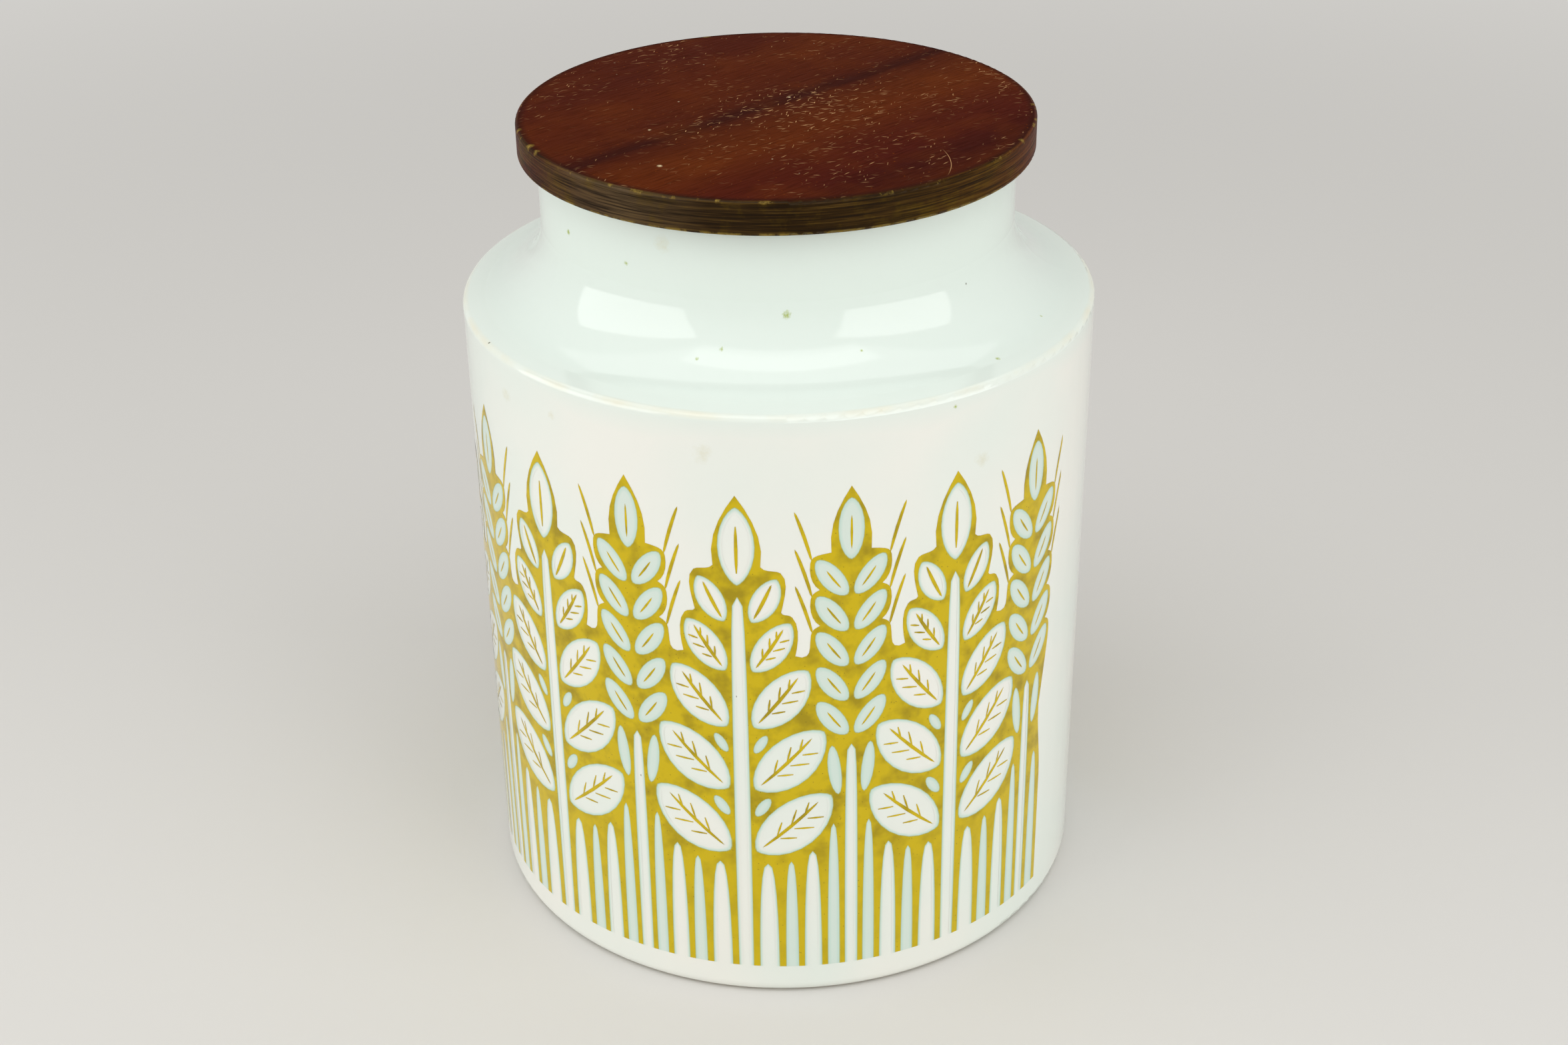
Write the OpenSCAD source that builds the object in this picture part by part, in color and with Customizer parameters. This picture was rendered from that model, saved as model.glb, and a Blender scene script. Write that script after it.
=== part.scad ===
// Food canister: a glazed ceramic jar with a turned wooden lid and a flexible seal ring.
// Millimetres, +Z up. The origin is on the jar's axis, on the surface that its foot ring stands on.

/* [Jar] */
// Outside diameter of the straight wall
body_d = 140; // [130:1:150]
// Outside diameter of the neck
neck_d = 103.6; // [96:0.1:106]
// Height of the rim, where the lid rests
rim_z = 177.7; // [174:0.1:190]
// Height at which the neck starts to flare into the shoulder
flare_top = 162.2; // [158:0.1:166]
// Radius of the hollow flare between the neck and the shoulder
flare_r = 16; // [12:0.5:17]
// Slope of the shoulder below horizontal, in degrees
shoulder_slope = 10; // [6:1:16]
// Thickness of the wall, the shoulder and the neck
wall_t = 5; // [4:0.5:6]
// Thickness of the floor, above the surface that the foot stands on
floor_t = 7; // [6:0.5:9]

/* [Foot] */
// Width of the ring that the jar stands on
foot_w = 6; // [4:0.5:8]
// Depth of the hollow inside the foot ring
foot_recess = 1.8; // [1:0.1:3]

/* [Lid] */
// Diameter of the lid's disc
lid_d = 111.6; // [108:0.1:118]
// Thickness of the disc
lid_t = 7.3; // [6:0.1:10]
// Radius on the disc's two edges
lid_edge_r = 0.8; // [0.4:0.1:1.5]
// Diameter of the plug under the disc
plug_d = 88; // [84:0.5:90]
// Depth of the plug
plug_h = 12; // [10:0.5:14]

/* [Seal ring] */
// Depth of the groove turned in the plug for the ring
groove_depth = 3; // [2:0.5:4]
// Height of the groove
groove_h = 5; // [4:0.5:6]
// Number of thin fins round the ring
fin_count = 3; // [2:1:3]
// Gap between the fins and the neck
fin_gap = 0.3; // [0.2:0.05:0.5]

/* [Hidden] */
$fn = 128;

// A cutting shape runs this far past the face that it cuts.
over = 1;

body_r = body_d / 2;
neck_r = neck_d / 2;
bore_r = neck_r - wall_t;
inside_r = body_r - wall_t;

corner_r = 3;          // outside corner between the wall and the foot
floor_corner_r = 8;    // inside corner between the wall and the floor
recess_corner_r = 1;
shoulder_edge_r = 1.5; // edge between the shoulder and the wall
ceiling_r = 6;         // inside corner between the wall and the shoulder
rim_outer_r = 1.5;
rim_inner_r = 2;

foot_outer_r = body_r - corner_r;
foot_inner_r = foot_outer_r - foot_w;

// The flare is an arc about this point, and the shoulder's slope runs on from its end.
flare_c = [neck_r + flare_r, flare_top];
flare_end = flare_c - flare_r * [sin(shoulder_slope), cos(shoulder_slope)];
edge_x = body_r - shoulder_edge_r;
edge_touch_x = edge_x + shoulder_edge_r * sin(shoulder_slope);
edge_touch_z = flare_end.y - (edge_touch_x - flare_end.x) * tan(shoulder_slope);
edge_z = edge_touch_z - shoulder_edge_r * cos(shoulder_slope);

// Inside, one arc runs from the wall into the flare, which is thicker there by the wall.
inside_flare_r = flare_r + wall_t;
ceiling_x = inside_r - ceiling_r;
ceiling_z = flare_c.y - sqrt(pow(inside_flare_r + ceiling_r, 2) - pow(flare_c.x - ceiling_x, 2));

lid_r = lid_d / 2;
plug_r = plug_d / 2;
plug_z = rim_z - plug_h;
plug_edge_r = 1;
groove_r = plug_r - groove_depth;
groove_top = rim_z - 4;
groove_z = groove_top - groove_h;

ring_side_gap = 0.2;
ring_inner_r = groove_r + 0.3;
ring_outer_r = plug_r + 0.6;
ring_z = groove_z + ring_side_gap;
ring_h = groove_h - 2 * ring_side_gap;
fin_r = bore_r - fin_gap;
fin_root_t = 0.9;
fin_tip_t = 0.4;
fin_rise = 0.4;

// What a rounded corner takes away, for a corner at p whose solid lies towards -side.
module corner_off(p, r, side) {
    translate(p - r * side)
        difference() {
            translate([side.x > 0 ? 0 : -r - over, side.y > 0 ? 0 : -r - over])
                square(r + over);
            circle(r);
        }
}

module jar_outside() {
    difference() {
        square([body_r, edge_z]);
        corner_off([body_r, 0], corner_r, [1, -1]);
    }
    translate([edge_x, edge_z])
        circle(shoulder_edge_r);
    polygon([[0, edge_z - over], [edge_x, edge_z - over], [edge_x, edge_z], [edge_touch_x, edge_touch_z],
             flare_end, [0, flare_end.y]]);
    difference() {
        polygon([[0, flare_end.y - over], [flare_end.x, flare_end.y - over], flare_end, flare_c,
                 [neck_r, flare_top], [0, flare_top]]);
        translate(flare_c)
            circle(flare_r);
    }
    difference() {
        translate([0, flare_top - over])
            square([neck_r, rim_z - flare_top + over]);
        corner_off([neck_r, rim_z], rim_outer_r, [1, 1]);
    }
}

module jar_inside() {
    difference() {
        translate([0, floor_t])
            square([inside_r, ceiling_z - floor_t]);
        corner_off([inside_r, floor_t], floor_corner_r, [1, -1]);
    }
    translate([ceiling_x, ceiling_z])
        circle(ceiling_r);
    difference() {
        polygon([[0, ceiling_z - over], [ceiling_x, ceiling_z - over], [ceiling_x, ceiling_z], flare_c,
                 [bore_r, flare_top], [0, flare_top]]);
        translate(flare_c)
            circle(inside_flare_r);
    }
    translate([0, flare_top - over])
        square([bore_r, rim_z - flare_top + 2 * over]);
    difference() {
        translate([bore_r - over, rim_z - rim_inner_r])
            square([rim_inner_r + over, rim_inner_r + over]);
        translate([bore_r + rim_inner_r, rim_z - rim_inner_r])
            circle(rim_inner_r);
    }
}

module foot_hollow() {
    difference() {
        translate([0, -over])
            square([foot_inner_r, foot_recess + over]);
        corner_off([foot_inner_r, foot_recess], recess_corner_r, [1, 1]);
    }
}

module jar() {
    color("#eef1ea")
        rotate_extrude()
            difference() {
                jar_outside();
                jar_inside();
                foot_hollow();
            }
}

module lid() {
    color("#5c2a17")
        rotate_extrude()
            difference() {
                union() {
                    translate([0, rim_z])
                        square([lid_r, lid_t]);
                    translate([0, plug_z])
                        square([plug_r, plug_h + lid_t / 2]);
                }
                corner_off([lid_r, rim_z + lid_t], lid_edge_r, [1, 1]);
                corner_off([lid_r, rim_z], lid_edge_r, [1, -1]);
                corner_off([plug_r, plug_z], plug_edge_r, [1, -1]);
                translate([groove_r, groove_z])
                    square([groove_depth + over, groove_h]);
            }
}

module fin(z) {
    translate([ring_outer_r, z])
        polygon([[-over, -fin_root_t / 2], [0, -fin_root_t / 2], [fin_r - ring_outer_r, fin_rise - fin_tip_t / 2],
                 [fin_r - ring_outer_r, fin_rise + fin_tip_t / 2], [0, fin_root_t / 2], [-over, fin_root_t / 2]]);
}

module seal_ring() {
    fin_pitch = ring_h / fin_count;
    color("#e8e2cf")
        rotate_extrude() {
            translate([ring_inner_r, ring_z])
                square([ring_outer_r - ring_inner_r, ring_h]);
            for (i = [0 : fin_count - 1])
                fin(ring_z + (i + 0.5) * fin_pitch);
        }
}

jar();
lid();
seal_ring();
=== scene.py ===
import math
from collections import namedtuple

import bmesh
import bpy
from mathutils import Matrix, Vector
from mathutils.geometry import interpolate_bezier


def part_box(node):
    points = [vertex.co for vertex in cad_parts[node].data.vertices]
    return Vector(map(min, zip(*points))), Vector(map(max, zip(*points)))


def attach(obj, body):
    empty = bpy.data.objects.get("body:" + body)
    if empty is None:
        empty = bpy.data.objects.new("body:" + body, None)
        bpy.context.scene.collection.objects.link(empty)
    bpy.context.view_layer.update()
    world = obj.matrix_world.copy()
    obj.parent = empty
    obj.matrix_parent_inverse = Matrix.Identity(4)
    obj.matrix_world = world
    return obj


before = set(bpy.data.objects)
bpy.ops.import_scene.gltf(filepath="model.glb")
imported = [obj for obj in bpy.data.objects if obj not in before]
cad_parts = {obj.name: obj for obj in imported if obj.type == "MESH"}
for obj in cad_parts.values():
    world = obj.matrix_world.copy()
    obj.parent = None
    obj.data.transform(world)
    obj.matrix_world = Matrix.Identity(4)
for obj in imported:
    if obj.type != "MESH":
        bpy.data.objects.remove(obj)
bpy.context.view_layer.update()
mm = 0.001
print("frame loaded:", ", ".join(sorted(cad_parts)))

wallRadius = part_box("jar")[1].x / mm
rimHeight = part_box("jar")[1].z / mm
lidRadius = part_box("lid")[1].x / mm
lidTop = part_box("lid")[1].z / mm


# Shared helpers for colours, shader nodes and meshes

def toLinear(hexCode):
    parts = [int(hexCode[i:i + 2], 16) / 255 for i in (1, 3, 5)]
    return tuple(c / 12.92 if c <= 0.04045 else ((c + 0.055) / 1.055) ** 2.4 for c in parts) + (1.0,)


def perMetre(sizeMm):  # scale of a pattern on Object coordinates whose features are this many mm apart
    return 1000 / sizeMm


def addNode(tree, kind, sockets=None, stops=(), **settings):
    # a socket, found by name or place, takes a number, a hex colour, an output, or a node's first output
    node = tree.nodes.new("ShaderNode" + kind)
    for name, value in settings.items():
        setattr(node, name, value)
    usable = [socket for socket in node.inputs if socket.enabled]
    for key, value in (sockets or {}).items():
        socket = usable[key] if isinstance(key, int) else next(s for s in usable if s.name == key)
        if isinstance(value, bpy.types.Node):
            value = next(output for output in value.outputs if output.enabled)
        if isinstance(value, bpy.types.NodeSocket):
            tree.links.new(value, socket)
        else:
            socket.default_value = toLinear(value) if isinstance(value, str) else value
    for i, (position, colour) in enumerate(stops):
        ramp = node.color_ramp.elements
        stop = ramp[i] if i < 2 else ramp.new(position)
        stop.position = position
        stop.color = toLinear(colour)
    return node


def newMaterial(name):
    material = bpy.data.materials.new(name)
    material.use_nodes = True
    material.node_tree.nodes.clear()
    return material, material.node_tree


def finishMesh(name, bm, material):
    mesh = bpy.data.meshes.new(name)
    bm.to_mesh(mesh)
    bm.free()
    mesh.materials.append(material)
    for face in mesh.polygons:
        face.use_smooth = True
    piece = bpy.data.objects.new(name, mesh)
    bpy.context.scene.collection.objects.link(piece)
    return piece


def dress(node, material):
    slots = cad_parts[node].data.materials
    slots.clear()
    slots.append(material)


# Camera: a little above the jar, tipped down at it

shot = {
    "place": (0.4, -466.3, 341.4),  # mm
    "tipDown": 28.95,  # degrees
    "roll": -0.85,  # degrees
    "lens": 51.8,  # mm
    "sensorWidth": 36,  # mm
}


def makeCamera():
    data = bpy.data.cameras.new("camera")
    data.lens = shot["lens"]
    data.sensor_width = shot["sensorWidth"]
    data.clip_start = 0.01
    camera = bpy.data.objects.new("camera", data)
    bpy.context.scene.collection.objects.link(camera)
    place = Matrix.Translation(Vector(shot["place"]) * mm)
    tip = Matrix.Rotation(math.radians(90 - shot["tipDown"]), 4, "X")
    roll = Matrix.Rotation(math.radians(shot["roll"]), 4, "Z")
    camera.matrix_world = place @ tip @ roll
    bpy.context.scene.camera = camera


makeCamera()
print("camera placed")


# Tin-white glaze on cast earthenware: a fired glass over clay, hard and glossy, faintly green where it lies
# thick and creamy where it thins over an edge, with kiln specks and a few marks from years in a kitchen

glaze = {
    "thin": "#F1F1E9",
    "thick": "#E3EFE7",
    "overEdge": "#E6E0C6",
    "bareClay": "#D8CDB8",
    "speck": "#4F4A2C",
    "smudge": "#D3CBA0",
    "drip": "#A0B22C",
    "roughness": 0.08,
    "clayRoughness": 0.75,
    "gloss": 0.5,
    "ior": 1.52,
    "swellMm": 30,  # spacing of the slow swells that dipping leaves
    "swellDepthMm": 0.1,
    "cloudMm": 40,
    "gathers": (139, 147),  # heights in mm between which it comes to lie thick, in the hollow under the neck
    "rounding": (1.2, 1.1, 0.8),  # in mm, at the top of the wall and the mouth's inner and outer edge
    "thinsMm": (1.5, 0.7),  # distances from an edge at which it starts to thin, and is thinnest
    "thinPatchMm": 12,
    "speckSpacingMm": 10,
    "speckMm": 0.45,
    "footBareMm": (0.3, 0.48),  # the foot ring is wiped clean up to here, and fully glazed from here
    # each mark's turn from the front in degrees, then its height, distance from the axis and reach in mm
    "smudges": [(-26.6, 172.8, 51.8, 4), (-13, 137, 70, 4.5), (-55, 137, 70, 3.5), (-42, 138, 70, 2.5),
                (36, 129, 70, 4)],
    "drips": [(1.7, 159.6, 52, 2.0), (-12.3, 153, 54.7, 1.0), (-17.1, 151.1, 56.2, 0.95),
              (17.3, 151.9, 55.5, 0.7), (-36.4, 166.9, 51.8, 1.1), (-56.8, 168.6, 51.8, 1.5),
              (44, 146.6, 64.3, 1.1), (64.2, 147.4, 61.7, 0.8), (30, 142.9, 70, 1.0), (128, 158, 52, 1.4),
              (-150, 147, 63, 1.3)],
    # spacing in mm of the crumbs that a mark is broken into, and its strength
    "smudgeCrumbs": (2.4, 0.3),
    "dripCrumbs": (0.8, 0.9),
}


def glazeColour(tree, position):
    cloud = addNode(tree, "TexNoise", {"Vector": position, "Scale": perMetre(glaze["cloudMm"])})
    spread = addNode(tree, "MapRange", {"Value": cloud, "From Min": 0.35, "From Max": 0.65, "To Max": 0.6})
    low, high = glaze["gathers"]
    height = addNode(tree, "SeparateXYZ", {"Vector": position}).outputs["Z"]
    hollow = addNode(tree, "MapRange", {
        "Value": height, "From Min": low * mm, "From Max": high * mm, "To Max": 0.9,
    })
    thick = addNode(tree, "Math", {0: spread, 1: hollow}, operation="MAXIMUM")
    return addNode(tree, "Mix", {"Factor": thick, "A": glaze["thin"], "B": glaze["thick"]}, data_type="RGBA")


def glazeOver(tree, position, colour, roughness=glaze["roughness"], gloss=glaze["gloss"]):
    # the fired glass over whatever colour lies in or under it
    swell = addNode(tree, "TexNoise", {
        "Vector": position, "Scale": perMetre(glaze["swellMm"]), "Detail": 1.5,
    })
    bump = addNode(tree, "Bump", {"Distance": glaze["swellDepthMm"] * mm, "Height": swell})
    shader = addNode(tree, "BsdfPrincipled", {
        "Base Color": colour, "Roughness": roughness, "IOR": glaze["ior"],
        "Specular IOR Level": gloss, "Normal": bump,
    })
    addNode(tree, "OutputMaterial", {"Surface": shader})


def kilnSpecks(tree, position):
    # half the cells hold a speck, and they are of many sizes
    cells = addNode(tree, "TexVoronoi", {"Vector": position, "Scale": perMetre(glaze["speckSpacingMm"])})
    draw = addNode(tree, "SeparateColor", {"Color": cells.outputs["Color"]})
    size = addNode(tree, "MapRange", {
        "Value": draw, "From Min": 0.5, "To Max": glaze["speckMm"] / glaze["speckSpacingMm"],
    })
    inside = addNode(tree, "Math", {0: size, 1: cells}, operation="SUBTRACT")
    return addNode(tree, "MapRange", {"Value": inside, "From Max": 0.012, "To Max": 0.85})


def marksAt(tree, position, places, crumbMm, strength):
    # broken patches, strongest in the middle, at the places given
    crumble = addNode(tree, "TexNoise", {
        "Vector": position, "Scale": perMetre(crumbMm), "Detail": 4.0, "Roughness": 0.7,
    })
    total = None
    for turn, height, radius, reach in places:
        turn = math.radians(turn)
        centre = Vector((radius * math.sin(turn), -radius * math.cos(turn), height)) * mm
        away = addNode(tree, "VectorMath", {0: position, 1: centre}, operation="DISTANCE")
        near = addNode(tree, "MapRange", {"Value": away, "From Min": reach * mm, "From Max": 0.0})
        total = addNode(tree, "Math", {0: total, 1: near}, operation="MAXIMUM") if total else near
    broken = addNode(tree, "Math", {0: total, 1: crumble}, operation="MULTIPLY")
    return addNode(tree, "MapRange", {
        "Value": broken, "From Min": 0.24, "From Max": 0.5, "To Max": strength,
    })


def thinOverEdge(tree, position):
    # the turn from the shoulder to the wall and the two edges of the mouth, where the glaze pulls thin
    vertices = [(math.hypot(v.co.x, v.co.y), v.co.z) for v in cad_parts["jar"].data.vertices]
    wallTop = max(z for radius, z in vertices if radius > wallRadius * 0.999 * mm)
    mouth = [radius for radius, z in vertices if z > rimHeight * 0.9999 * mm]
    wallTurn, mouthIn, mouthOut = glaze["rounding"]
    edges = [(wallRadius * mm, wallTop + wallTurn * mm)]
    edges += [(min(mouth) - mouthIn * mm, rimHeight * mm), (max(mouth) + mouthOut * mm, rimHeight * mm)]
    flat = addNode(tree, "VectorMath", {0: position, 1: (1, 1, 0)}, operation="MULTIPLY")
    radius = addNode(tree, "VectorMath", {0: flat}, operation="LENGTH")
    height = addNode(tree, "SeparateXYZ", {"Vector": position})
    place = addNode(tree, "CombineXYZ", {"X": radius, "Z": height.outputs["Z"]})
    nearest = None
    for x, z in edges:
        away = addNode(tree, "VectorMath", {0: place, 1: (x, 0, z)}, operation="DISTANCE")
        nearest = addNode(tree, "Math", {0: nearest, 1: away}, operation="MINIMUM") if nearest else away
    starts, thinnest = glaze["thinsMm"]
    near = addNode(tree, "MapRange", {
        "Value": nearest, "From Min": starts * mm, "From Max": thinnest * mm,
    })
    patchy = addNode(tree, "TexNoise", {
        "Vector": position, "Scale": perMetre(glaze["thinPatchMm"]), "Detail": 3.0,
    })
    worn = addNode(tree, "MapRange", {
        "Value": patchy, "From Min": 0.4, "From Max": 0.7, "To Min": 0.1, "To Max": 0.7,
    })
    return addNode(tree, "Math", {0: near, 1: worn}, operation="MULTIPLY")


def makeGlaze():
    material, tree = newMaterial("tinWhiteGlaze")
    position = addNode(tree, "TexCoord").outputs["Object"]
    colour = glazeColour(tree, position)
    for mask, hexCode in (
        (thinOverEdge(tree, position), glaze["overEdge"]),
        (marksAt(tree, position, glaze["smudges"], *glaze["smudgeCrumbs"]), glaze["smudge"]),
        (marksAt(tree, position, glaze["drips"], *glaze["dripCrumbs"]), glaze["drip"]),
        (kilnSpecks(tree, position), glaze["speck"]),
    ):
        colour = addNode(tree, "Mix", {"Factor": mask, "A": colour, "B": hexCode}, data_type="RGBA")
    height = addNode(tree, "SeparateXYZ", {"Vector": position}).outputs["Z"]
    wiped, glazed = glaze["footBareMm"]
    bare = addNode(tree, "MapRange", {"Value": height, "From Min": glazed * mm, "From Max": wiped * mm})
    colour = addNode(tree, "Mix", {"Factor": bare, "A": colour, "B": glaze["bareClay"]}, data_type="RGBA")
    rough = addNode(tree, "MapRange", {
        "Value": bare, "To Min": glaze["roughness"], "To Max": glaze["clayRoughness"],
    })
    glazeOver(tree, position, colour, rough)
    return material


dress("jar", makeGlaze())
print("jar glazed")


# Teak, turned, stained dark red-brown and oiled: soft bands of figure with hardly any sheen, fine pale
# scratches where the stain is cut through, old lacquer on the streaked rim, and both edges rubbed bare

lidWood = {
    # colour across the grain, from the front right of the lid to its back left, in mm from the middle
    "figure": [(-56, "#4C1C05"), (-47, "#3A0D05"), (-36, "#481306"), (-29, "#4C1705"), (-17, "#5B2404"),
               (-7, "#552104"), (-1, "#491905"), (1.5, "#350E05"), (3, "#370F05"), (7, "#491805"),
               (24, "#521D04"), (40, "#481606"), (56, "#4C1905")],
    "grainTurn": 43,  # degrees from +X
    "wanderMm": (70, 16),  # how the bands wander: along and across the grain
    "wanderBy": 5,
    "poreMm": (7, 0.5),
    "pore": "#250B05",
    "cloudMm": 14,
    "cloud": "#6D3206",
    "scratch": "#D2A472",
    "dust": "#E6D3B0",
    "chip": "#E8D2A6",
    # degrees from +X, then length and width in mm of the cells that hold the scratches of one slant
    "scratches": [(-20, 3.4, 0.55), (6, 4.6, 0.6), (28, 3.8, 0.55), (52, 4.4, 0.6), (81, 2.6, 0.55)],
    "scuffed": (5, -9, 42),  # middle of the area that is scratched most, and its reach, in mm
    "scuffPatchMm": 22,
    # spacing and size in mm of flecks in the stain and of specks of dust, and the share of places left empty
    "flecks": (1.7, 0.5, 0.35),
    "specks": (5, 0.55, 0.6),
    # each mark's turn from the front in degrees, then its height, distance from the axis and reach in mm
    "chips": [(-34, 185, 42, 1.2), (-64, 185, 29.5, 0.9), (159, 185, 7.8, 0.9)],
    "rubs": [(-78, 184.6, 55.4, 1.9), (-67, 184.8, 55.2, 2.2), (-63, 184.8, 55.2, 1.8), (90, 184.6, 55.3, 2),
             (66, 184.8, 55.3, 1.7), (197, 184.7, 55.3, 2.2)],
    "markCrumbs": (0.9, 1.0),  # spacing in mm of the crumbs that a mark is broken into, and its strength
    "hair": (10, -35, 25, 8, 0.17),  # one curved scratch: centre and radius of its arc, reach and width
    "worn": "#8F7634",
    "wearMm": 3.5,
    "wearWithinMm": 0.3,  # of an edge the wear is full
    # how high the wear's noise must be to bare the wood, and how far the wear reaches in mm
    "wearAbove": (0.57, 0.7),
    "wearBelow": (0.47, 0.85),
    # colour round the rim, by degrees from the front: side grain is redder, end grain is greyer, and the
    # grey just left of the front is partly painted sheen of the left softbox, which comes back half a turn
    # round
    "rim": [(-90, "#511A12"), (-64, "#46200F"), (-46, "#4E3A25"), (-34, "#55432C"), (-14, "#35240D"),
            (2, "#2A1A03"), (26, "#3A2606"), (50, "#4D3106"), (70, "#572509"), (90, "#511A12")],
    "rimDark": "#170C02",
    "rimPale": "#785C28",
    "patina": "#5E4806",
    "patinaMm": 7,
    "turningMm": (15, 0.35),  # round the rim, and up it
    "underside": "#7A4A28",  # stained less, and dry
    "streakMm": (45, 2.2),  # streaks underneath: along and across the grain
    "ringMm": 1.4,  # spacing of the rings that the lathe's tool left underneath
    "roughness": (0.45, 0.62),
    "ior": 1.45,
    "gloss": 0.012,  # oil that has dried into the grain leaves next to none
    "reliefMm": 0.06,
    "lacquer": 0.13,
    "lacquerRoughness": 0.2,
    # distances in mm from the edge at which each of these starts and is strongest, and its strength there
    "darkEdge": (2.2, 0.9, 0.6),
    "rimFinish": (0.8, 0.3, 1.0),
    "dryFace": (0.8, 2, 1.0),
    "lowerFaceMm": 0.25,  # what is this close to the level of the jar's rim, or under it, is underside
}


def alongGrain(tree, position, turn, lengthMm, widthMm):
    # one unit is the given length along the grain, and the given width across it
    turned = addNode(tree, "Mapping", {"Vector": position, "Rotation": (0, 0, -math.radians(turn))})
    scale = (perMetre(lengthMm), perMetre(widthMm), perMetre(widthMm))
    return addNode(tree, "Mapping", {"Vector": turned, "Scale": scale})


def woodFigure(tree, position):
    turn = lidWood["grainTurn"]
    across = addNode(tree, "SeparateXYZ", {"Vector": alongGrain(tree, position, turn, 1, 1)}).outputs["Y"]
    wander = addNode(tree, "TexNoise", {
        "Vector": alongGrain(tree, position, turn, *lidWood["wanderMm"]), "Scale": 1.0,
    })
    shift = addNode(tree, "MapRange", {
        "Value": wander, "From Min": 0.25, "From Max": 0.75,
        "To Min": -lidWood["wanderBy"] / 2, "To Max": lidWood["wanderBy"] / 2,
    })
    shifted = addNode(tree, "Math", {0: across, 1: shift}, operation="ADD")
    share = addNode(tree, "MapRange", {"Value": shifted, "From Min": -lidRadius, "From Max": lidRadius})
    stops = [((place + lidRadius) / (2 * lidRadius), hexCode) for place, hexCode in lidWood["figure"]]
    figure = addNode(tree, "ValToRGB", {"Fac": share}, stops=stops)
    cloud = addNode(tree, "TexNoise", {
        "Vector": position, "Scale": perMetre(lidWood["cloudMm"]), "Detail": 4.0,
    })
    cloud = addNode(tree, "MapRange", {"Value": cloud, "From Min": 0.48, "From Max": 0.72, "To Max": 0.28})
    return addNode(tree, "Mix", {"Factor": cloud, "A": figure, "B": lidWood["cloud"]}, data_type="RGBA")


def scuffedArea(tree, position):
    # the share of the places for a scratch that hold one
    x, y, reach = lidWood["scuffed"]
    patches = addNode(tree, "TexNoise", {
        "Vector": position, "Scale": perMetre(lidWood["scuffPatchMm"]), "Detail": 3.0,
    })
    middle = Vector((x, y, lidTop)) * mm
    away = addNode(tree, "VectorMath", {0: position, 1: middle}, operation="DISTANCE")
    near = addNode(tree, "MapRange", {
        "Value": away, "From Min": reach * mm, "From Max": 0.2 * reach * mm, "To Min": -0.1, "To Max": 0.14,
    })
    both = addNode(tree, "Math", {0: patches, 1: near}, operation="ADD")
    return addNode(tree, "MapRange", {
        "Value": both, "From Min": 0.3, "From Max": 0.75, "To Min": 0.02, "To Max": 0.42,
    })


def scratchMarks(tree, position):
    scuffed = scuffedArea(tree, position)
    total = None
    for turn, lengthMm, widthMm in lidWood["scratches"]:
        cells = addNode(tree, "TexVoronoi", {
            "Vector": alongGrain(tree, position, turn, lengthMm, widthMm), "Scale": 1.0,
        })
        draw = addNode(tree, "SeparateColor", {"Color": cells.outputs["Color"]})
        # a cell holds a scratch where enough of the stain is gone for its own number, and most are faint
        chosen = addNode(tree, "Math", {0: draw.outputs["Green"], 1: scuffed}, operation="ADD")
        chosen = addNode(tree, "MapRange", {"Value": chosen, "From Min": 1.0, "From Max": 1.34})
        mark = addNode(tree, "MapRange", {"Value": cells, "From Min": 0.25, "From Max": 0.1})
        mark = addNode(tree, "Math", {0: mark, 1: chosen}, operation="MULTIPLY")
        total = addNode(tree, "Math", {0: total, 1: mark}, operation="MAXIMUM") if total else mark
    return addNode(tree, "Math", {0: total, 1: hairScratch(tree, position)}, operation="MAXIMUM")


def hairScratch(tree, position):
    x, y, radius, reach, width = lidWood["hair"]
    centre = Vector((x, y, lidTop)) * mm
    away = addNode(tree, "VectorMath", {0: position, 1: centre}, operation="DISTANCE")
    off = addNode(tree, "Math", {0: away, 1: radius * mm}, operation="SUBTRACT")
    off = addNode(tree, "Math", {0: off}, operation="ABSOLUTE")
    line = addNode(tree, "MapRange", {"Value": off, "From Min": width / 2 * mm, "From Max": width / 6 * mm})
    middle = centre + Vector((radius, 0, 0)) * mm
    along = addNode(tree, "VectorMath", {0: position, 1: middle}, operation="DISTANCE")
    fade = addNode(tree, "MapRange", {
        "Value": along, "From Min": reach * mm, "From Max": reach * 0.4 * mm, "To Max": 0.8,
    })
    return addNode(tree, "Math", {0: line, 1: fade}, operation="MULTIPLY")


def dustMarks(tree, position, spacingMm, sizeMm, empty):
    cells = addNode(tree, "TexVoronoi", {"Vector": position, "Scale": perMetre(spacingMm)})
    draw = addNode(tree, "SeparateColor", {"Color": cells.outputs["Color"]})
    chosen = addNode(tree, "MapRange", {"Value": draw, "From Min": empty, "From Max": 1.0})
    size = sizeMm / 2 / spacingMm
    dot = addNode(tree, "MapRange", {"Value": cells, "From Min": size, "From Max": size * 0.6})
    return addNode(tree, "Math", {0: dot, 1: chosen}, operation="MULTIPLY")


def wornEdges(tree, position, profile):
    rubbed = addNode(tree, "TexNoise", {
        "Vector": position, "Scale": perMetre(lidWood["wearMm"]), "Detail": 5.0, "Roughness": 0.65,
    })
    full = lidWood["wearWithinMm"] * mm
    total = None
    # the lower edge is rubbed nearly all the way round, the upper one in places
    for height, (start, reach) in ((lidTop, lidWood["wearAbove"]), (rimHeight, lidWood["wearBelow"])):
        corner = (lidRadius * mm, 0, height * mm)
        away = addNode(tree, "VectorMath", {0: profile, 1: corner}, operation="DISTANCE")
        near = addNode(tree, "MapRange", {"Value": away, "From Min": reach * mm, "From Max": full})
        bare = addNode(tree, "MapRange", {"Value": rubbed, "From Min": start, "From Max": start + 0.1})
        mark = addNode(tree, "Math", {0: near, 1: bare}, operation="MULTIPLY")
        total = addNode(tree, "Math", {0: total, 1: mark}, operation="MAXIMUM") if total else mark
    return total


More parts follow.
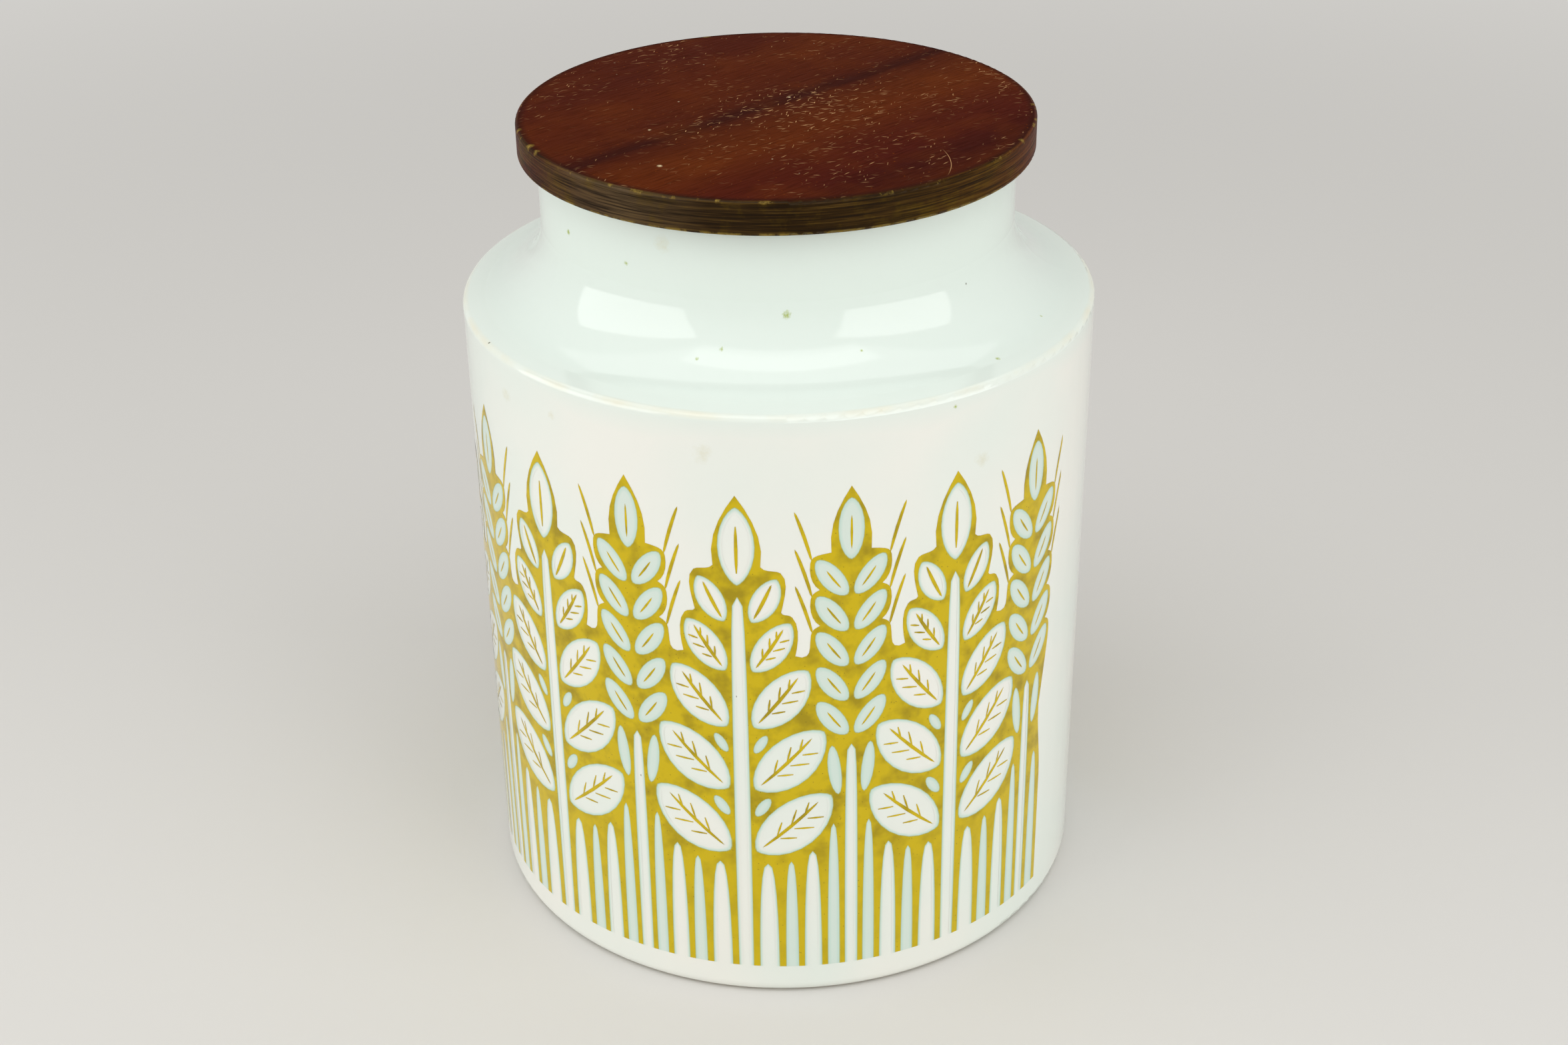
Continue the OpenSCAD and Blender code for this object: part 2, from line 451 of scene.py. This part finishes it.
def rimWoodAndSheen(tree, position, turning):
    # fine streaks that the lathe left run round it, over a colour that changes as the grain turns and holds
    # a painted sheen just left of the front
    place = addNode(tree, "SeparateXYZ", {"Vector": position})
    sideways = addNode(tree, "Math", {0: place.outputs["Y"], 1: -1.0}, operation="MULTIPLY")
    turn = addNode(tree, "Math", {0: place.outputs["X"], 1: sideways}, operation="ARCTAN2")
    turn = addNode(tree, "Math", {0: turn, 1: math.pi / 2, 2: -math.pi / 2}, operation="WRAP")
    share = addNode(tree, "MapRange", {"Value": turn, "From Min": -math.pi / 2, "From Max": math.pi / 2})
    stops = [(degrees / 180 + 0.5, hexCode) for degrees, hexCode in lidWood["rim"]]
    colour = addNode(tree, "ValToRGB", {"Fac": share}, stops=stops)
    patches = addNode(tree, "TexNoise", {
        "Vector": position, "Scale": perMetre(lidWood["patinaMm"]), "Detail": 4.0, "Roughness": 0.6,
    })
    for source, low, high, most, hexCode in (
        (patches, 0.5, 0.75, 0.7, lidWood["patina"]),
        (turning, 0.56, 0.36, 0.85, lidWood["rimDark"]),
        (turning, 0.55, 0.78, 0.38, lidWood["rimPale"]),
    ):
        mask = addNode(tree, "MapRange", {
            "Value": source, "From Min": low, "From Max": high, "To Max": most,
        })
        colour = addNode(tree, "Mix", {"Factor": mask, "A": colour, "B": hexCode}, data_type="RGBA")
    return colour


def undersideWood(tree, position, figure, pored, rings):
    # the plug and the face around it: drier and paler, with the same figure, and dark in the tool's rings
    dry = addNode(tree, "Mix", {"Factor": 0.6, "A": figure, "B": lidWood["underside"]}, data_type="RGBA")
    streaks = addNode(tree, "TexNoise", {
        "Vector": alongGrain(tree, position, lidWood["grainTurn"], *lidWood["streakMm"]),
        "Scale": 1.0, "Detail": 4.0,
    })
    for source, low, high, most, hexCode in (
        (streaks, 0.45, 0.72, 0.6, lidWood["figure"][2][1]),
        (rings, 0.75, 1.0, 0.25, lidWood["pore"]),
        (pored, 0.0, 1.0, 1.0, lidWood["pore"]),
    ):
        mask = addNode(tree, "MapRange", {
            "Value": source, "From Min": low, "From Max": high, "To Max": most,
        })
        dry = addNode(tree, "Mix", {"Factor": mask, "A": dry, "B": hexCode}, data_type="RGBA")
    return dry


def makeLidWood():
    material, tree = newMaterial("stainedTeak")
    position = addNode(tree, "TexCoord").outputs["Object"]
    height = addNode(tree, "SeparateXYZ", {"Vector": position}).outputs["Z"]
    flat = addNode(tree, "VectorMath", {0: position, 1: (1, 1, 0)}, operation="MULTIPLY")
    radius = addNode(tree, "VectorMath", {0: flat}, operation="LENGTH")
    profile = addNode(tree, "CombineXYZ", {"X": radius, "Z": height})

    pores = addNode(tree, "TexNoise", {
        "Vector": alongGrain(tree, position, lidWood["grainTurn"], *lidWood["poreMm"]),
        "Scale": 1.0, "Detail": 3.0, "Roughness": 0.6,
    })
    pored = addNode(tree, "MapRange", {"Value": pores, "From Min": 0.48, "From Max": 0.75, "To Max": 0.55})
    darkEdge, rimFinish, dryFace = (addNode(tree, "MapRange", {
        "Value": radius, "From Min": (lidRadius - start) * mm, "From Max": (lidRadius - full) * mm,
        "To Max": most,
    }) for start, full, most in (lidWood["darkEdge"], lidWood["rimFinish"], lidWood["dryFace"]))
    figure = woodFigure(tree, position)
    face = figure
    for mask, hexCode in (
        (pored, lidWood["pore"]),
        (darkEdge, lidWood["pore"]),
        (dustMarks(tree, position, *lidWood["flecks"]), lidWood["cloud"]),
        (scratchMarks(tree, position), lidWood["scratch"]),
        (dustMarks(tree, position, *lidWood["specks"]), lidWood["dust"]),
    ):
        face = addNode(tree, "Mix", {"Factor": mask, "A": face, "B": hexCode}, data_type="RGBA")

    # a diagonal wave repeats every pi / 5 of a unit, outwards as well as upwards
    rings = addNode(tree, "TexWave", {
        "Vector": profile, "Scale": perMetre(lidWood["ringMm"]) * math.pi / 5, "Distortion": 0.0,
    }, bands_direction="DIAGONAL")
    around, up = (perMetre(size) for size in lidWood["turningMm"])
    turned = addNode(tree, "Mapping", {"Vector": position, "Scale": (around, around, up)})
    turning = addNode(tree, "TexNoise", {"Vector": turned, "Scale": 1.0, "Detail": 3.0, "Roughness": 0.65})
    rim = rimWoodAndSheen(tree, position, turning)
    colour = addNode(tree, "Mix", {"Factor": rimFinish, "A": face, "B": rim}, data_type="RGBA")
    for mask, hexCode in (
        (wornEdges(tree, position, profile), lidWood["worn"]),
        (marksAt(tree, position, lidWood["rubs"], *lidWood["markCrumbs"]), lidWood["worn"]),
        (marksAt(tree, position, lidWood["chips"], *lidWood["markCrumbs"]), lidWood["chip"]),
    ):
        colour = addNode(tree, "Mix", {"Factor": mask, "A": colour, "B": hexCode}, data_type="RGBA")
    below = addNode(tree, "MapRange", {
        "Value": height, "From Min": (rimHeight + lidWood["lowerFaceMm"]) * mm, "From Max": rimHeight * mm,
    })
    under = addNode(tree, "Math", {0: below, 1: dryFace}, operation="MULTIPLY")
    underColour = undersideWood(tree, position, figure, pored, rings)
    colour = addNode(tree, "Mix", {"Factor": under, "A": colour, "B": underColour}, data_type="RGBA")

    low, high = lidWood["roughness"]
    rough = addNode(tree, "MapRange", {
        "Value": pores, "From Min": 0.3, "From Max": 0.7, "To Min": low, "To Max": high,
    })
    relief = addNode(tree, "Mix", {"Factor": rimFinish, "A": pores, "B": turning}, data_type="FLOAT")
    relief = addNode(tree, "Mix", {"Factor": under, "A": relief, "B": rings}, data_type="FLOAT")
    bump = addNode(tree, "Bump", {"Strength": 0.6, "Distance": lidWood["reliefMm"] * mm, "Height": relief})
    lacquer = addNode(tree, "Math", {0: rimFinish, 1: lidWood["lacquer"]}, operation="MULTIPLY")
    shader = addNode(tree, "BsdfPrincipled", {
        "Base Color": colour, "Roughness": rough, "IOR": lidWood["ior"],
        "Specular IOR Level": lidWood["gloss"], "Normal": bump,
        "Coat Weight": lacquer, "Coat Roughness": lidWood["lacquerRoughness"], "Coat Normal": bump,
    })
    addNode(tree, "OutputMaterial", {"Surface": shader})
    return material


dress("lid", makeLidWood())
print("lid stained")


# Moulded silicone: milky, a little see-through at the thin fins, with a satin skin that holds flour dust

seal = {
    "body": "#DDD6C0",
    "dust": "#C6BB9C",
    "dustMm": 6,
    "roughness": 0.38,
    "ior": 1.41,
    "reliefMm": 0.03,
    "milky": 0.35,  # share of the light that spreads inside it
    "throughMm": 1.2,  # how far that light spreads
    "throughTint": (1.0, 0.85, 0.6),
}


def makeSilicone():
    material, tree = newMaterial("milkySilicone")
    position = addNode(tree, "TexCoord").outputs["Object"]
    dust = addNode(tree, "TexNoise", {"Vector": position, "Scale": perMetre(seal["dustMm"]), "Detail": 4.0})
    dusty = addNode(tree, "MapRange", {"Value": dust, "From Min": 0.45, "From Max": 0.7})
    colour = addNode(tree, "Mix", {"Factor": dusty, "A": seal["body"], "B": seal["dust"]}, data_type="RGBA")
    bump = addNode(tree, "Bump", {"Strength": 0.3, "Distance": seal["reliefMm"] * mm, "Height": dust})
    shader = addNode(tree, "BsdfPrincipled", {
        "Base Color": colour, "Roughness": seal["roughness"], "IOR": seal["ior"], "Normal": bump,
        "Subsurface Weight": seal["milky"], "Subsurface Scale": seal["throughMm"] * mm,
        "Subsurface Radius": seal["throughTint"],
    })
    addNode(tree, "OutputMaterial", {"Surface": shader})
    return material


dress("seal_ring", makeSilicone())
print("seal ring moulded")


# Printed band: a repeating frieze of wheat ears and leafy sprigs, left white in an ochre ground.
# It is drawn flat, with x as the length round the wall and z as height, in mm, then wrapped on the wall.
# One length of it, from ear to ear, is drawn and then spun round the wall.

band = {
    "aquaLift": 0.02,  # how far each ink stands over the glaze
    "ochreLift": 0.03,
    "low": 8,  # where the band is cut off, above the worktop
    "root": -22,  # where stems and blades would start, so that they are at full width where they are cut
    "foot": -25,  # where the ground would start
    "rightEnd": 57,  # degrees from the front
    "repeats": 8,
    "pitch": 23.64,  # from an ear to the next sprig
    "dip": (13.2, 90),  # lowest point of the ground's upper edge, from the sprig
    "margin": 8.2,  # from the last ear to the end of the band
    "side": 7.4,  # from the last ear to the end of the ground
    "strips": 18,  # flat facets in one repeat
    "overlap": 0.2,  # line where the two inks overlap round each shape
    "bleed": 0.95,  # how far the second ink bleeds inwards
    "deepest": 0.38,  # but never further than this share of a shape's width
}

wheat = {
    "ear": 70,  # where the lowest pair of grains starts
    "pairs": 5,
    "step": 8.6,
    "grain": (10.8, 4.9, 40),  # length, width and lean
    "grainFrom": 0.8,  # from the middle of the stem
    "awn": (12, 0.75, 13),  # length, width and lean
    "awnsFrom": 2,  # the pairs below this one lie inside the ground and have none
    "stem": (67.4, 3.0),  # top and width
    "topGrain": (112.6, 5.6),  # start and width, up to the tip
    "topCrease": (115, 8, 0.55),  # start, length and width
    "tip": 127,
    "sheath": (2.8, 54.5, 13, 3.0, 9),  # distance from the middle, start, length, width and lean
    "endBlade": (4.4, 46, 3.2),  # the last blade at each end of the band: distance, top and width
}

sprig = {
    # start, length, width and lean of each pair of leaves
    "leaves": [(40, 22, 12, 52), (56.5, 21, 11.4, 49), (72.5, 18.4, 9.6, 43), (86.5, 14.4, 7.2, 38),
               (98.5, 11.8, 5.9, 31)],
    "leavesFrom": 2.8,  # from the middle of the stem
    "buds": [(49.4, 5.8, 2.6, 33), (65.9, 5.4, 2.3, 30)],
    "budsFrom": 2.9,
    "stem": (104.6, 3.6),  # top and width
    "topLeaf": (107.2, 7.8),  # start and width, up to the tip
    "topRib": (109.8, 11.5, 0.75),  # start, length and width
    "tip": 125.5,
    "rib": (0.08, 0.78, 0.8),  # start and length, as shares of the leaf's length, and width
    "veins": (0.28, 0.46, 0.64),  # where they leave the rib
    "vein": (0.42, 0.45, 36),  # length as a share of the leaf's width, then width and lean from the rib
    "veinless": 7,  # leaves up to this width have only a rib
    # distance from the sprig, width and top of each blade of grass between the stems
    "grass": [(5.3, 4.5, 36.8), (10.4, 3.0, 37.4), (15.1, 4.0, 40), (19.7, 2.8, 47)],
    # up the ground's edge beside it: two handles and the end of each curve, below its top leaf
    "edge": [((12.4, 93), (13, 97.8), (11.3, 99.8)), ((10.4, 100.8), (9.4, 100), (9, 101)),
             ((9.6, 104), (11, 108.6), (9, 110.4)), ((8, 111.2), (5.8, 110.4), (4.9, 111.8))],
}

# a stroke starts at x and z, its bend is how far its end is bent sideways, and more point makes sharper ends
stroke = namedtuple("stroke", "x z length width lean bend point sides", defaults=(0, 0, 1.3, 24))

# shapes left bare, shapes tinted all over, lines inside them, and the outline of the ground
drawing = namedtuple("drawing", "bare half lines outline")


def mirrored(shape, centre):
    return shape._replace(x=2 * centre - shape.x, lean=-shape.lean, bend=-shape.bend)


def onStroke(shape, share, side=0.0):
    # the point at this share of a stroke's length, and this far to its side
    lean = math.radians(shape.lean)
    side += shape.bend * share ** 2
    return (shape.x + math.sin(lean) * shape.length * share + math.cos(lean) * side,
            shape.z + math.cos(lean) * shape.length * share - math.sin(lean) * side)


def addStroke(bm, shape, inset=0.0, filled=False):
    # a circle drawn out into a leaf, a grain, a blade or a stem
    ring = bmesh.ops.create_circle(bm, segments=shape.sides, radius=1, cap_ends=filled)["verts"]
    inset = min(inset, shape.width * band["deepest"])
    pull = inset * 0.7 * (1 + shape.point)  # a pointed end moves in further than the sides
    for vert in ring:
        along = pull + (1 - vert.co.x) / 2 * (shape.length - 2 * pull)
        side = abs(vert.co.y) ** shape.point * math.copysign(shape.width / 2 - inset, vert.co.y)
        x, z = onStroke(shape, along / shape.length, side)
        vert.co = (x, 0, z)
    return ring


def bladeUpTo(top, x, width, point=0.7):
    return stroke(x, band["root"], top - band["root"], width, point=point)


def leafLines(leaf):
    start, share, width = sprig["rib"]
    lines = [stroke(*onStroke(leaf, start), leaf.length * share, width, leaf.lean - 3,
                    bend=-0.045 * leaf.length, point=1, sides=12)]
    share, width, lean = sprig["vein"]
    for place in sprig["veins"] if leaf.width > sprig["veinless"] else ():
        reach = leaf.width * share * (1 - abs(place - 0.45))  # longest where the leaf is widest
        for side in (-1, 1):
            lines.append(stroke(*onStroke(leaf, place, side * 0.35), reach, width, leaf.lean + side * lean,
                                point=1, sides=6))
    return lines


def drawSprig(x):
    bare, half, lines = [], [], []
    top, width = sprig["stem"]
    bare.append(bladeUpTo(top, x, width, point=0.35))
    start, width = sprig["topLeaf"]
    bare.append(stroke(x, start, sprig["tip"] - start, width, point=1.4))
    lines.append(stroke(x, *sprig["topRib"], point=1, sides=10))
    for start, length, width, lean in sprig["leaves"]:
        leaf = stroke(x + sprig["leavesFrom"], start, length, width, lean, bend=-0.06 * length, point=1.35)
        bare += [leaf, mirrored(leaf, x)]
        lines += leafLines(leaf) + [mirrored(line, x) for line in leafLines(leaf)]
    for start, length, width, lean in sprig["buds"]:
        bud = stroke(x + sprig["budsFrom"], start, length, width, lean, point=1.1, sides=14)
        half += [bud, mirrored(bud, x)]
    for side in (-1, 1):
        for k, (across, width, top) in enumerate(sprig["grass"]):
            (half if k % 2 else bare).append(bladeUpTo(top, x + side * across, width))
    return bare, half, lines


def drawWheat(x):
    bare, half, lines = [], [], []
    top, width = wheat["stem"]
    bare.append(bladeUpTo(top, x, width, point=0.35))
    start, width = wheat["topGrain"]
    half.append(stroke(x, start, wheat["tip"] - start, width, point=1.2, sides=20))
    lines.append(stroke(x, *wheat["topCrease"], point=1, sides=8))
    length, width, lean = wheat["grain"]
    for k in range(wheat["pairs"]):
        grain = stroke(x + wheat["grainFrom"], wheat["ear"] + wheat["step"] * k, length, width, lean,
                       bend=-0.6, point=1.15, sides=20)
        crease = stroke(*onStroke(grain, 0.2), length * 0.5, 0.5, lean - 2, bend=-0.3, point=1, sides=8)
        half += [grain, mirrored(grain, x)]
        lines += [crease, mirrored(crease, x)]
        if k >= wheat["awnsFrom"]:
            tipX, tipZ = onStroke(grain, 1, 0.6)
            awn = stroke(tipX + 0.5, tipZ + 0.3, *wheat["awn"], bend=0.8, point=0.7, sides=12)
            lines += [awn, mirrored(awn, x)]
    across, *shape = wheat["sheath"]
    sheath = stroke(x + across, *shape, bend=-0.6, point=1.1, sides=16)
    half += [sheath, mirrored(sheath, x)]
    return bare, half, lines


def curveOn(path, first, second, end):
    # goes on from the path's last point, with two handles
    path.extend(interpolate_bezier(path[-1], Vector(first), Vector(second), Vector(end), 6)[1:])


def wheatEdge(path, fromPair):
    # the ground's edge up one side of an ear, scalloped round its grains
    length, _, lean = wheat["grain"]
    out = 0.4 + length * math.sin(math.radians(lean))
    for k in range(fromPair, wheat["pairs"]):
        up = wheat["ear"] + wheat["step"] * k + length * math.cos(math.radians(lean)) + 0.4
        notch = 6.6 if k < wheat["pairs"] - 1 else 4.2
        curveOn(path, (out + 0.9, up - 5.8), (out + 1.6, up - 3.2), (out + 1.2, up - 0.6))
        curveOn(path, (out + 1, up + 0.9), (out, up + 1.2), (notch, up + 1.6))
    curveOn(path, (4.8, 121), (2.8, wheat["tip"] - 2), (0, wheat["tip"] + 2.6))
    return path


def sprigEdge(path):
    for curve in sprig["edge"]:
        curveOn(path, *curve)
    curveOn(path, (6, 118), (3.2, sprig["tip"] - 2), (0, sprig["tip"] + 2.6))
    return path


def groundEdge(kind):
    # half of the ground's outline beside one motif, from its lowest point up to the motif's tip
    across, dip = band["dip"]
    seam = Vector((band["pitch"] / 2, dip + 0.4))
    if kind == "sprig":
        return sprigEdge([seam])
    if kind == "wheat":
        return wheatEdge([seam, Vector((band["pitch"] - across, dip))], wheat["awnsFrom"])
    # where the band ends, the edge goes down beside the last ear to the foot
    path = [Vector((band["side"], band["foot"])), Vector((band["side"], 38))]
    curveOn(path, (7.2, 46), (5.6, 50), (5.6, 58))
    return wheatEdge(path, 0)


def outlineOf(motifs):
    # motifs are (centre, kind on its left, kind on its right)
    outline = []
    for centre, left, right in motifs:
        outline += [Vector((centre - p.x, 0, p.y)) for p in groundEdge(left)][:-1]
        outline += [Vector((centre + p.x, 0, p.y)) for p in groundEdge(right)][::-1]
    left, right = outline[0].x, outline[-1].x
    return [Vector((left, 0, band["foot"]))] + outline + [Vector((right, 0, band["foot"]))]


def fillGround(flat):
    # the ground, with every shape left open, and the lines inside the shapes
    bm = bmesh.new()
    corners = [bm.verts.new(point) for point in flat.outline]
    for first, second in zip(corners, corners[1:] + corners[:1]):
        bm.edges.new((first, second))
    bmesh.ops.remove_doubles(bm, verts=bm.verts[:], dist=0.01)
    for shape in flat.bare + flat.half:
        addStroke(bm, shape)
    bmesh.ops.triangle_fill(bm, use_beauty=True, use_dissolve=False, edges=bm.edges[:], normal=(0, -1, 0))
    for shape in flat.lines:
        addStroke(bm, shape, filled=True)
    bmesh.ops.triangulate(bm, faces=[f for f in bm.faces if len(f.verts) > 4])
    return bm


def fillTint(flat):
    # each shape has its outline, the end of the line where the inks overlap, and the end of the bleed
    bm = bmesh.new()
    tint = bm.verts.layers.float.new("tint")
    overlap = bm.verts.layers.float.new("overlap")
    for shape in flat.bare + flat.half:
        least = 0.5 if shape in flat.half else 0.0
        loops = []
        for inset, line in ((0, 1.0), (band["overlap"], 0.0), (band["bleed"], 0.0)):
            ring = addStroke(bm, shape, inset)
            loops.append({edge for vert in ring for edge in vert.link_edges})
            for vert in ring:
                vert[tint] = max(least, 1 - min(inset, shape.width * band["deepest"]) / band["bleed"])
                vert[overlap] = line
        for outer, inner in zip(loops, loops[1:]):
            bmesh.ops.bridge_loops(bm, edges=list(outer | inner))
        if least > 0:
            bmesh.ops.contextual_create(bm, geom=ring)
    bmesh.ops.triangulate(bm, faces=bm.faces[:])
    return bm


def cutAcross(bm, x, clearFrom=None):
    # cuts the flat drawing at x, and with a side given clears what lies beyond
    bmesh.ops.bisect_plane(bm, geom=bm.verts[:] + bm.edges[:] + bm.faces[:], dist=1e-4, plane_co=(x, 0, 0),
                           plane_no=(clearFrom or 1, 0, 0), clear_outer=clearFrom is not None)


def wrapOnWall(bm, left, right, centre, lift):
    # keeps the drawing from left to right, cuts it into narrow strips, and bends it round the wall
    bmesh.ops.recalc_face_normals(bm, faces=bm.faces[:])
    bmesh.ops.reverse_faces(bm, faces=[face for face in bm.faces if face.normal.y > 0])
    bmesh.ops.bisect_plane(bm, geom=bm.verts[:] + bm.edges[:] + bm.faces[:], dist=1e-4,
                           plane_co=(0, 0, band["low"]), plane_no=(0, 0, -1), clear_outer=True)
    cutAcross(bm, left, -1)
    cutAcross(bm, right, 1)
    strip = 2 * band["pitch"] / band["strips"]
    for k in range(math.floor(left / strip) + 1, math.ceil(right / strip)):
        cutAcross(bm, k * strip)
    radius = wallRadius + lift
    for vert in bm.verts:
        turn = (vert.co.x + centre) / wallRadius
        vert.co = Vector((radius * math.sin(turn), -radius * math.cos(turn), vert.co.z)) * mm


def appendTo(whole, bm):
    mesh = bpy.data.meshes.new("part")
    bm.to_mesh(mesh)
    bm.free()
    whole.from_mesh(mesh)
    bpy.data.meshes.remove(mesh)


def printBand(name, fill, lift, material):
    pitch, repeats, margin = band["pitch"], band["repeats"], band["margin"]
    lastEar = math.radians(band["rightEnd"]) * wallRadius - margin
    firstEar = lastEar - 2 * pitch * repeats
    motifs = [drawWheat(-pitch), drawSprig(0), drawWheat(pitch)]
    outline = outlineOf([(-pitch, "wheat", "wheat"), (0, "sprig", "sprig"), (pitch, "wheat", "wheat")])
    whole = fill(drawing(*(sum(shapes, []) for shapes in zip(*motifs)), outline))
    wrapOnWall(whole, -pitch, pitch, lastEar - pitch, lift)
    bmesh.ops.spin(whole, geom=whole.verts[:] + whole.edges[:] + whole.faces[:], axis=(0, 0, 1),
                   angle=-2 * pitch / wallRadius * (repeats - 1), steps=repeats - 1, use_duplicate=True)
    across, top, width = wheat["endBlade"]
    for side, ear in ((-1, firstEar), (1, lastEar)):
        bare, half, lines = drawWheat(0)
        half.append(bladeUpTo(top, side * across, width))
        kinds = ("end", "wheat") if side < 0 else ("wheat", "end")
        part = fill(drawing(bare, half, lines, outlineOf([(0, *kinds)])))
        outside = side * (margin + 3)
        wrapOnWall(part, min(0, outside), max(0, outside), ear, lift)
        appendTo(whole, part)
    bmesh.ops.remove_doubles(whole, verts=whole.verts[:], dist=1e-6)
    piece = finishMesh(name, whole, material)
    piece.data.normals_split_custom_set_from_vertices(
        [Vector((v.co.x, v.co.y, 0)).normalized() for v in piece.data.vertices])
    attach(piece, "jar")
    print(name, len(piece.data.polygons), "faces")


# Underglaze inks: screen-printed oxide colours under the same glass, dense ochre over a thin aqua wash

ink = {
    "ochre": "#CFB400",
    "ochreDeep": "#988302",
    "ochreSpeck": "#6B5C12",
    "aqua": "#BFDBCF",
    "olive": "#A9A840",
    "mottleMm": 4.5,
    "pools": (32, 44),  # heights in mm between which it comes to pool, in the wide fields above the grass
    "grainMm": 1.3,
    "grainDotMm": 0.16,
    "gloss": 0.3,  # of the ochre, less than the bare glaze has, because the ink bites into the glass
}


def makeOchre():
    material, tree = newMaterial("ochreUnderglaze")
    position = addNode(tree, "TexCoord").outputs["Object"]
    pool = addNode(tree, "TexNoise", {"Vector": position, "Scale": perMetre(ink["mottleMm"]), "Detail": 3.0})
    pool = addNode(tree, "MapRange", {"Value": pool, "From Min": 0.44, "From Max": 0.7, "To Max": 0.8})
    height = addNode(tree, "SeparateXYZ", {"Vector": position}).outputs["Z"]
    low, high = ink["pools"]
    wide = addNode(tree, "MapRange", {
        "Value": height, "From Min": low * mm, "From Max": high * mm, "To Min": 0.35,
    })
    pool = addNode(tree, "Math", {0: pool, 1: wide}, operation="MULTIPLY")
    colour = addNode(tree, "Mix", {
        "Factor": pool, "A": ink["ochre"], "B": ink["ochreDeep"],
    }, data_type="RGBA")
    cells = addNode(tree, "TexVoronoi", {"Vector": position, "Scale": perMetre(ink["grainMm"])})
    dot = ink["grainDotMm"] / ink["grainMm"]
    dots = addNode(tree, "MapRange", {"Value": cells, "From Min": dot, "From Max": dot * 0.5, "To Max": 0.7})
    colour = addNode(tree, "Mix", {"Factor": dots, "A": colour, "B": ink["ochreSpeck"]}, data_type="RGBA")
    glazeOver(tree, position, colour, gloss=ink["gloss"])
    return material


def makeAqua():
    material, tree = newMaterial("aquaUnderglaze")
    position = addNode(tree, "TexCoord").outputs["Object"]
    amount = addNode(tree, "Attribute", attribute_name="tint").outputs["Fac"]
    amount = addNode(tree, "MapRange", {"Value": amount}, interpolation_type="SMOOTHSTEP")
    bare = glazeColour(tree, position)
    colour = addNode(tree, "Mix", {"Factor": amount, "A": bare, "B": ink["aqua"]}, data_type="RGBA")
    line = addNode(tree, "Attribute", attribute_name="overlap").outputs["Fac"]
    colour = addNode(tree, "Mix", {"Factor": line, "A": colour, "B": ink["olive"]}, data_type="RGBA")
    glazeOver(tree, position, colour)
    return material


# the aqua goes on first, and the ochre over its edge
printBand("aquaPrint", fillTint, band["aquaLift"], makeAqua())
printBand("ochrePrint", fillGround, band["ochreLift"], makeOchre())


# Studio: a pale paper floor that runs into a pale background, a softbox on each side, one above the camera,
# and a white ceiling

studio = {
    "floor": "#DCDAD6",
    "floorRadius": 4000,
    "floorRoughness": 0.8,
    "floorGloss": 0.2,
    "background": "#D3D1CD",
    "floorFades": (350, 1000),  # distances in mm between which the floor runs into the background
    "surround": "#F2F1EE",
    "surroundStrength": 0.37,
    # each one's turn from the front and rise in degrees, distance, width and height in mm, and watts
    "softboxes": [(-70, 15, 1100, 1200, 800, 5.9), (55, 15, 1100, 1100, 760, 5.0),
                  (0, 60, 1200, 1300, 620, 3.4), (0, 90, 1300, 2000, 2000, 8.5)],
    "target": (0, 0, 110),
}


def seenDirectly(tree):
    # 1 for what is seen by the camera, in a gloss or through glass, and 0 for what only lights
    path = addNode(tree, "LightPath").outputs
    total = addNode(tree, "Math", {0: path["Is Camera Ray"], 1: path["Is Glossy Ray"]}, operation="ADD")
    return addNode(tree, "Math", {0: total, 1: path["Is Transmission Ray"]}, operation="ADD", use_clamp=True)


def makePaper():
    material, tree = newMaterial("paperSweep")
    paper = addNode(tree, "BsdfPrincipled", {
        "Base Color": studio["floor"], "Roughness": studio["floorRoughness"],
        "Specular IOR Level": studio["floorGloss"],
    })
    plain = addNode(tree, "Emission", {"Color": studio["background"], "Strength": 1.0})
    position = addNode(tree, "TexCoord").outputs["Object"]
    away = addNode(tree, "VectorMath", {0: position}, operation="LENGTH").outputs["Value"]
    near, far = studio["floorFades"]
    fade = addNode(tree, "MapRange", {"Value": away, "From Min": near * mm, "From Max": far * mm},
                   interpolation_type="SMOOTHSTEP")
    share = addNode(tree, "Math", {0: fade, 1: seenDirectly(tree)}, operation="MULTIPLY")
    shader = addNode(tree, "MixShader", {0: share, 1: paper, 2: plain})
    addNode(tree, "OutputMaterial", {"Surface": shader})
    return material


def makeSoftbox(name, turn, rise, distance, width, height, power):
    data = bpy.data.lights.new(name, "AREA")
    data.shape = "RECTANGLE"
    data.size = width * mm
    data.size_y = height * mm
    data.energy = power
    light = bpy.data.objects.new(name, data)
    light.visible_camera = False
    bpy.context.scene.collection.objects.link(light)
    turn, rise = math.radians(turn), math.radians(rise)
    way = Vector((math.sin(turn) * math.cos(rise), -math.cos(turn) * math.cos(rise), math.sin(rise)))
    light.location = (Vector(studio["target"]) + way * distance) * mm
    light.rotation_euler = way.to_track_quat("Z", "Y").to_euler()


def makeSurround():
    world = bpy.data.worlds.new("surround")
    bpy.context.scene.world = world
    world.use_nodes = True
    tree = world.node_tree
    tree.nodes.clear()
    lighting = addNode(tree, "Background", {
        "Color": studio["surround"], "Strength": studio["surroundStrength"],
    })
    plain = addNode(tree, "Background", {"Color": studio["background"], "Strength": 1.0})
    shader = addNode(tree, "MixShader", {0: seenDirectly(tree), 1: lighting, 2: plain})
    addNode(tree, "OutputWorld", {"Surface": shader})


def makeStudio():
    bm = bmesh.new()
    bmesh.ops.create_circle(bm, cap_ends=True, segments=96, radius=studio["floorRadius"] * mm)
    finishMesh("floor", bm, makePaper())
    for i, softbox in enumerate(studio["softboxes"]):
        makeSoftbox(f"softbox{i + 1}", *softbox)
    makeSurround()
    bpy.context.scene.view_settings.view_transform = "Standard"


makeStudio()
print("studio lit")
